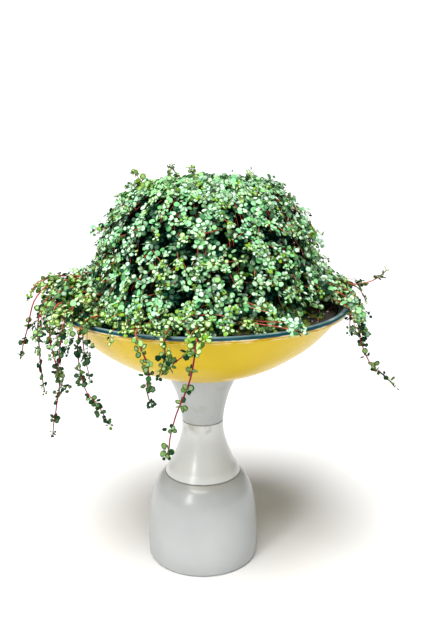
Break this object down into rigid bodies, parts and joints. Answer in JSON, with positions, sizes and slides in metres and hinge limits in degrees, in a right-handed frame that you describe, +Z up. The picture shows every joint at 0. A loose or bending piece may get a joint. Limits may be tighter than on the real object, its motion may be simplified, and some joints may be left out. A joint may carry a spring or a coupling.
{
  "type": "silver sparkle pilea in a pedestal bowl",
  "caption": "Trailing silver-leaved houseplant mounded in a wide shallow yellow bowl with a dark rim, on a turned white pedestal.",
  "frame": {"origin": "centre of the pedestal's flat foot", "axes": "+Z up along the pedestal's and the bowl's axis, -Y towards the front, +X to the right"},
  "size_m": [0.4461, 0.3718, 0.494],
  "materials": {
    "white_glaze": "satin",
    "yellow_glaze": "gloss",
    "teal_glaze": "satin",
    "soil": "matte",
    "foliage": "satin"
  },
  "bodies": {
    "root": {"pedestal_dome": "white_glaze", "pedestal_cone": "white_glaze", "pedestal_neck": "white_glaze", "bowl": "yellow_glaze", "rim_band": "teal_glaze", "soil": "soil", "trail_left_sprig": "foliage", "trail_left_far": "foliage", "trail_left_outer": "foliage", "trail_left_long": "foliage", "trail_left_inner": "foliage", "trail_left_front": "foliage", "trail_front_short": "foliage", "trail_front_cluster": "foliage", "trail_front_long": "foliage", "trail_right_long": "foliage", "trail_right_sprig": "foliage", "trail_right_back": "foliage", "trail_back_left": "foliage", "trail_back_right": "foliage", "crown_spray_01": "foliage", "crown_spray_02": "foliage", "crown_spray_03": "foliage", "crown_spray_04": "foliage", "outer_spray_01": "foliage", "outer_spray_02": "foliage", "outer_spray_03": "foliage", "outer_spray_04": "foliage", "outer_spray_05": "foliage", "outer_spray_06": "foliage", "outer_spray_07": "foliage", "outer_spray_08": "foliage", "outer_spray_09": "foliage", "outer_spray_10": "foliage", "outer_spray_11": "foliage", "outer_spray_12": "foliage"}
  },
  "joints": []
}
